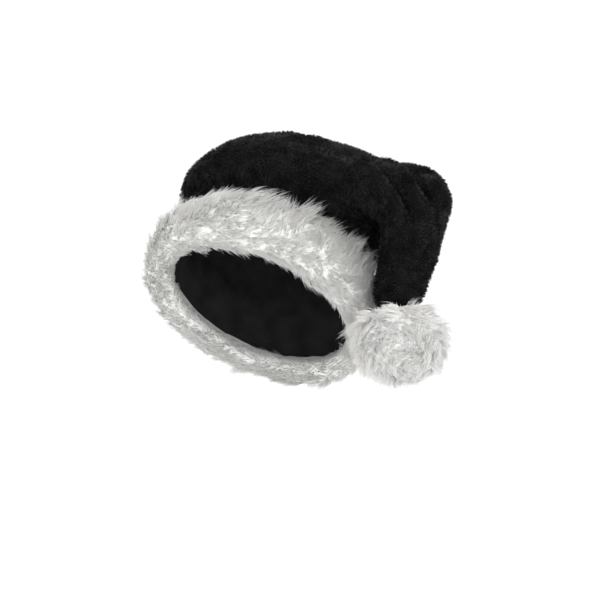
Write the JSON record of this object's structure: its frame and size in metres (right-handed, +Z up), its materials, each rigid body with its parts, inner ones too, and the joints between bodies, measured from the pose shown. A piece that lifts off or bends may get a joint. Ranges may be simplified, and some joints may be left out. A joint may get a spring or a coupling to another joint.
{
  "type": "santa hat",
  "caption": "Soft black plush santa hat as worn, with a long-haired white fur band round the rim and a white fur pompom on the point folded over to one side.",
  "frame": {"origin": "middle of the head opening in the plane of the rim", "axes": "+Z up as worn, -Y the way the wearer faces, +X the wearer's left, where the point hangs"},
  "size_m": [0.2897, 0.2348, 0.2365],
  "materials": {
    "black_plush": "matte short-pile plush",
    "white_fur": "long shaggy pile, matte with a slight sheen"
  },
  "bodies": {
    "root": {"crown": "black_plush", "fur_band": "white_fur", "pompom": "white_fur"}
  },
  "joints": []
}
